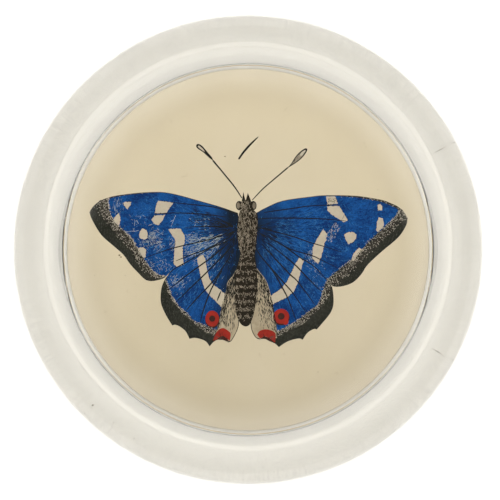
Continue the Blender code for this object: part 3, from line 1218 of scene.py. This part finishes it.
# Each ink's two colours and the size of its grain in millimetres
INKS = {
    "paper": paper_surface(),
    "black": speckled("black_margin", (0.015, 0.016, 0.013), (0.034, 0.036, 0.031), 0.25),
    "stipple": speckled("stippled_band", (0.014, 0.014, 0.013), (0.060, 0.055, 0.048), 0.25),
    "blue": blue_wash(),
    "pale": speckled("pale_spot", (0.56, 0.505, 0.42), (0.47, 0.42, 0.345), 0.5),
    "fold": speckled("fold_panel", (0.47, 0.405, 0.305), (0.32, 0.27, 0.195), 0.5),
    "red": speckled("red_ring", (0.37, 0.030, 0.020), (0.22, 0.020, 0.016), 0.5),
    "brown": speckled("dark_brown", (0.060, 0.020, 0.016), (0.030, 0.016, 0.013), 0.4),
    "body": speckled("body_brown", (0.026, 0.021, 0.016), (0.012, 0.010, 0.008), 0.4),
    "line": speckled("engraved_line", (0.010, 0.011, 0.012), (0.020, 0.020, 0.020), 0.3),
    "mark": speckled("pale_stipple", (0.56, 0.52, 0.45), (0.33, 0.30, 0.26), 0.6),
    "hair": speckled("body_hair", (0.40, 0.345, 0.275), (0.19, 0.16, 0.125), 0.8),
    "eye": speckled("eye_grey", (0.24, 0.205, 0.16), (0.12, 0.10, 0.08), 0.6),
    "light": speckled("light_blue", (0.050, 0.205, 0.47), (0.020, 0.115, 0.37), 0.6),
    "deep": speckled("deep_blue", (0.003, 0.016, 0.065), (0.004, 0.034, 0.150), 0.6),
    "rub": speckled("rubbed_blue", (0.52, 0.52, 0.46), (0.19, 0.32, 0.42), 0.5),
    "speck": speckled("paper_speck", (0.13, 0.10, 0.06), (0.30, 0.24, 0.16), 0.5),
    "grain": speckled("margin_grain", (0.090, 0.092, 0.080), (0.035, 0.036, 0.032), 0.4),
}


# The glass: its ripples by the foot, and the tint of its depth
RIPPLES_BELOW = 5 * MM
RIPPLES_FROM = (38.8 * MM, 40.2 * MM)
RIPPLE_STRENGTH = 1.0
RIPPLE_DEPTH = 0.2 * MM
RIPPLES_PER_RADIAN = 90.0
RIPPLES_PER_METRE = 500.0
RIPPLE_NOISE = (1.0, 3.0, 0.6)
DEPTH_TINT = (0.88, 0.78, 0.42, 1.0)
DEPTH_DENSITY = 4.0


def clear_glass():
    """Clear pressed glass, a trace of warm tint in its depth and faint ripples by the foot."""
    nodes = Nodes("clear_glass")
    for name, value in (("Base Color", (1.0, 1.0, 1.0, 1.0)), ("Roughness", 0.0),
                        ("IOR", GLASS_IOR), ("Transmission Weight", 1.0)):
        nodes.put(nodes.shader, name, value)
    place = nodes.place()
    parts = nodes.split(place)
    angle = nodes.math("ARCTAN2", parts["Y"], parts["X"])
    away = nodes.length(place)
    across, up = (nodes.math("MULTIPLY", nodes.math(kind, angle), RIPPLES_PER_RADIAN)
                  for kind in ("COSINE", "SINE"))
    polar = nodes.add("ShaderNodeCombineXYZ", X=across, Y=up,
                      Z=nodes.math("MULTIPLY", away, RIPPLES_PER_METRE))
    ripple = nodes.noise(polar.outputs[0], *RIPPLE_NOISE)
    low = nodes.spread(parts["Z"], RIPPLES_BELOW, 0.0)
    low = nodes.math("MULTIPLY", low, nodes.spread(away, *RIPPLES_FROM))
    nodes.bump(nodes.math("MULTIPLY", ripple, low), RIPPLE_STRENGTH, RIPPLE_DEPTH)
    absorb = nodes.add("ShaderNodeVolumeAbsorption", Color=DEPTH_TINT, Density=DEPTH_DENSITY)
    output = nodes.tree.nodes["Material Output"]
    nodes.tree.links.new(absorb.outputs["Volume"], output.inputs["Volume"])
    return nodes.material


HIGHLIGHT_LINE_GRAIN = (2500.0, 3.0, 0.6)
HIGHLIGHT_LINE_COLOURS = ((0.99, 0.99, 0.99), (0.96, 0.96, 0.96))


def painted_highlight_line():
    """Painted highlight: a whitish line in the foot for the light that the foot's edge catches."""
    nodes = matt_nodes("painted_highlight_line")
    grain = nodes.noise(nodes.place(), *HIGHLIGHT_LINE_GRAIN)
    nodes.put(nodes.shader, "Base Color", nodes.mix(grain, *HIGHLIGHT_LINE_COLOURS))
    return nodes.material


# The card: its colours, the distances from the middle over which it whitens, and its fibres
CARD_COLOURS = ((0.86, 0.85, 0.82), (0.80, 0.79, 0.76))
CARD_WHITE = (0.96, 0.96, 0.94)
CARD_WHITENS = (24 * MM, 35 * MM)
CARD_FIBRES = (3500.0, 4.0, 0.6)
CARD_FIBRE_BUMP, CARD_FIBRE_DEPTH = 0.2, 0.03 * MM


def white_card():
    """White card with faint fibres, whitest at either side."""
    nodes = matt_nodes("white_card")
    place = nodes.place()
    fibre = nodes.noise(place, *CARD_FIBRES)
    aside = nodes.spread(nodes.math("ABSOLUTE", nodes.split(place)["X"]), *CARD_WHITENS)
    colour = nodes.mix(fibre, *CARD_COLOURS)
    nodes.put(nodes.shader, "Base Color", nodes.mix(aside, colour, CARD_WHITE))
    nodes.bump(fibre, CARD_FIBRE_BUMP, CARD_FIBRE_DEPTH)
    return nodes.material


# How finely the glass is divided, and the whitish painted highlight line in its foot
GLASS_STEPS = 256
DOME_RINGS = 90
ROUNDING_RINGS = 20
HIGHLIGHT_LINE_RADIUS = 40.1 * MM
HIGHLIGHT_LINE_WIDTH = 0.7 * MM
HIGHLIGHT_LINE_SHIFT = 0.6 * MM
SMOOTH_ANGLE = math.radians(30)

# Size of the mouth's chamfer, as shares: at the front and back, and at either side
CHAMFER_LEAST = 0.2
CHAMFER_MOST = 2.0
CHAMFER_POWER = 30


def glass_section():
    """Section from the recess's middle to the dome's top, and where its painted highlight line
    starts.
    """
    ceiling = PRINT_TOP - GLUE_DEPTH
    section = [(0.0, ceiling), (PRINT_RADIUS, ceiling), (RECESS_RADIUS, ceiling),
               (RECESS_RADIUS, RECESS_MOUTH_CHAMFER), (RECESS_RADIUS + RECESS_MOUTH_CHAMFER, 0.0)]
    highlight_ring = len(section)
    section += [(HIGHLIGHT_LINE_RADIUS - HIGHLIGHT_LINE_WIDTH / 2, 0.0),
                (HIGHLIGHT_LINE_RADIUS + HIGHLIGHT_LINE_WIDTH / 2, 0.0)]
    power = 2 / FOOT_ROUNDING_POWER
    for k in range(ROUNDING_RINGS + 1):
        turn = math.pi / 2 * k / ROUNDING_RINGS
        section.append((FOOT_RADIUS + (OUTER_RADIUS - FOOT_RADIUS) * math.sin(turn) ** power,
                        FOOT_ROUNDING_HEIGHT * (1 - math.cos(turn) ** power)))
    for k in range(DOME_RINGS):
        across = math.cos(math.pi / 2 * k / DOME_RINGS)
        section.append((OUTER_RADIUS * across, dome_height(across)))
    section.append((0.0, DOME_HEIGHT))
    return section, highlight_ring


def make_glass():
    """The dome as one closed turned mesh."""
    section, highlight_ring = glass_section()
    vertices, faces, rings, slots = [], [], [], []
    for number, (radius, height) in enumerate(section):
        first = len(vertices)
        if radius == 0.0:
            vertices.append((0.0, 0.0, height))
            rings.append([first] * GLASS_STEPS)
            continue
        shift = HIGHLIGHT_LINE_SHIFT if number in (highlight_ring, highlight_ring + 1) else 0.0
        for k in range(GLASS_STEPS):
            angle = 2 * math.pi * k / GLASS_STEPS
            reach, rise = radius, height
            if number in (highlight_ring - 2, highlight_ring - 1):
                sideways = math.cos(angle) ** CHAMFER_POWER
                share = CHAMFER_LEAST + (CHAMFER_MOST - CHAMFER_LEAST) * sideways
                reach, rise = RECESS_RADIUS + (radius - RECESS_RADIUS) * share, height * share
            vertices.append((reach * math.cos(angle), reach * math.sin(angle) + shift, rise))
        rings.append(list(range(first, first + GLASS_STEPS)))
    for number, (lower, upper) in enumerate(zip(rings, rings[1:])):
        faces += [list(dict.fromkeys(corners)) for corners in band(lower, upper)]
        # Slot 1 is the white painted highlight line in the foot
        slots += [1 if number == highlight_ring else 0] * GLASS_STEPS
    mesh = make_mesh("glass", vertices, faces, [clear_glass(), painted_highlight_line()], slots)
    mesh.shade_smooth()
    mesh.set_sharp_from_angle(angle=SMOOTH_ANGLE)
    add_piece("glass", mesh, "glass_dome")


# The card's edge: a painted shadow in brown along it, and nearly against the glass but for a dark
# gap at either side
CARD_GAP = 0.01 * MM
CARD_SIDE_GAP = 0.25 * MM
SIDE_GAP_POWER = 20
CARD_SHADOW_WIDTH = 0.26 * MM
CARD_SHADOW_NARROWING = 0.95
CARD_SHADOW_POWER = 4
CARD_SHADOW_COLOURS = ((0.55, 0.45, 0.27), (0.42, 0.34, 0.20))
CARD_SHADOW_GRAIN_MM = 0.4
CARD_SIDES = 192


def make_card():
    """White card with a painted shadow in brown along its edge, whose distance from the glass
    varies.
    """
    vertices, loops = [], []
    for edge, height in ((0.0, card_low.z), (0.0, card_high.z), (CARD_SHADOW_WIDTH, card_high.z)):
        loops.append(range(len(vertices), len(vertices) + CARD_SIDES))
        for k in range(CARD_SIDES):
            angle = 2 * math.pi * k / CARD_SIDES
            gap = CARD_GAP + CARD_SIDE_GAP * math.cos(angle) ** SIDE_GAP_POWER
            # Painted shadow: a brown ring along the card's edge for the shade in the gap by the
            # glass, narrowest at either side
            brown = edge * (1 - CARD_SHADOW_NARROWING * math.cos(angle) ** CARD_SHADOW_POWER)
            radius = RECESS_RADIUS - gap - brown
            vertices.append((radius * math.cos(angle), radius * math.sin(angle), height))
    faces = [list(loops[0])[::-1], list(loops[2])]
    for lower, upper in zip(loops, loops[1:]):
        faces += band(lower, upper)
    slots = [0, 0] + [1] * (len(faces) - 2)
    # The brown material here is the painted shadow along the card's edge
    brown = speckled("card_edge_painted_shadow", *CARD_SHADOW_COLOURS, CARD_SHADOW_GRAIN_MM)
    mesh = make_mesh("card", vertices, faces, [white_card(), brown], slots)
    add_piece("card", mesh, "backing_card")


# Scratches and specks of the rim: from, to and width, all in pixels of the photograph
RIM_MARKS = [
    ((434.0, 153.0), (446.2, 146.6), 0.5), ((431.2, 347.8), (443.6, 355.4), 0.5),
    ((92.0, 405.8), (93.4, 404.6), 1.7), ((113.2, 423.0), (114.0, 422.4), 0.9),
    ((133.6, 438.8), (134.6, 438.0), 0.9),
]
MARK_THICKNESS = 0.02 * MM
MARK_COLOURS = ((0.10, 0.075, 0.045), (0.22, 0.18, 0.12))
MARK_GRAIN_MM = 0.5


def low_in_glass(point):
    """Place just above the foot of what the photograph shows at a pixel."""
    x, y = under_glass(point, FOOT_RADII)
    return Vector((x * MM, y * MM, MARK_HEIGHT))


def make_rim_marks():
    """Thin dark slivers in the glass, for the scratches and specks of its rim."""
    vertices, faces = [], []
    for start, end, width in RIM_MARKS:
        loop = [low_in_glass(point) for point in stroke([start, end], width, 0.2, 0.2)]
        first, count = len(vertices), len(loop)
        for lift in (0.0, MARK_THICKNESS):
            vertices += [corner + Vector((0, 0, lift)) for corner in loop]
        under = list(range(first, first + count))
        over = list(range(first + count, first + 2 * count))
        faces += [under, over[::-1], *band(over, under)]
    dark = speckled("dark_scratch", *MARK_COLOURS, MARK_GRAIN_MM)
    piece = add_object("rim_marks", make_mesh("rim_marks", vertices, faces, [dark]))
    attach(piece, "root")


# The floor: how far it reaches, how far it lies under the foot, and its looks
FLOOR_REACH = 3.0
FLOOR_DROP = 0.05 * MM
FLOOR_ROUGHNESS = 0.9
FLOOR_GRAIN = (400.0, 3.0, 0.5)
FLOOR_COLOURS = ((0.90, 0.90, 0.90), (0.88, 0.88, 0.88))


def make_floor():
    """Plain pale floor just under the foot."""
    corners = [(across * FLOOR_REACH, up * FLOOR_REACH, -FLOOR_DROP)
               for across, up in ((-1, -1), (1, -1), (1, 1), (-1, 1))]
    nodes = Nodes("pale_floor")
    nodes.put(nodes.shader, "Roughness", FLOOR_ROUGHNESS)
    grain = nodes.noise(nodes.place(), *FLOOR_GRAIN)
    nodes.put(nodes.shader, "Base Color", nodes.mix(grain, *FLOOR_COLOURS))
    floor = add_object("floor", make_mesh("floor", corners, [(0, 1, 2, 3)], [nodes.material]))


# Soft light all round, dimmer at the horizon and dark straight overhead, where the camera hangs;
# each stop is a height above the horizon and how bright the sky is there
SKY_TINT = (1.0, 0.985, 0.945)
SKY_STRENGTH = 3.0
SKY_TILT = 0.05
SKY_STOPS = ((0.28, 0.26), (0.64, 1.0), (0.80, 1.0), (0.88, 0.035))


def make_light():
    """World lit by height above the horizon alone."""
    world = bpy.data.worlds.new("studio")
    bpy.context.scene.world = world
    world.use_nodes = True
    tree = world.node_tree
    where = tree.nodes.new("ShaderNodeTexCoord")
    split = tree.nodes.new("ShaderNodeSeparateXYZ")
    ramp = tree.nodes.new("ShaderNodeValToRGB")
    tree.links.new(where.outputs["Generated"], split.inputs[0])
    tree.links.new(split.outputs["Z"], ramp.inputs[0])
    tree.links.new(ramp.outputs[0], tree.nodes["Background"].inputs["Color"])
    tilt = tree.nodes.new("ShaderNodeMath")
    tilt.operation = "MULTIPLY_ADD"
    tree.links.new(split.outputs["Y"], tilt.inputs[0])
    tilt.inputs[1].default_value = SKY_STRENGTH * SKY_TILT
    tilt.inputs[2].default_value = SKY_STRENGTH
    tree.links.new(tilt.outputs[0], tree.nodes["Background"].inputs["Strength"])
    stops = ramp.color_ramp.elements
    while len(stops) < len(SKY_STOPS):
        stops.new(0.5)
    for stop, (height, level) in zip(stops, SKY_STOPS):
        stop.position = height
        stop.color = (*(level * tint for tint in SKY_TINT), 1.0)
    bpy.context.scene.view_settings.view_transform = "Standard"


def make_camera():
    """Straight above the disc, framed as the photograph is."""
    data = bpy.data.cameras.new("camera")
    camera = add_object("camera", data)
    bpy.context.scene.camera = camera
    half_view = OUTER_RADIUS * PHOTO_CENTRE_PX / DISC_RADIUS_PX
    data.sensor_width = SENSOR_WIDTH
    data.lens = data.sensor_width / 2 * (CAMERA_HEIGHT - SHOULDER_HEIGHT) / half_view
    data.clip_start = CLIP_START
    camera.location = ((PHOTO_CENTRE_PX - DISC_CENTRE_PX[0]) * METRES_PER_PX,
                       (DISC_CENTRE_PX[1] - PHOTO_CENTRE_PX) * METRES_PER_PX, CAMERA_HEIGHT)


make_camera()
make_light()
make_floor()
make_print()
make_glass()
make_rim_marks()
make_card()
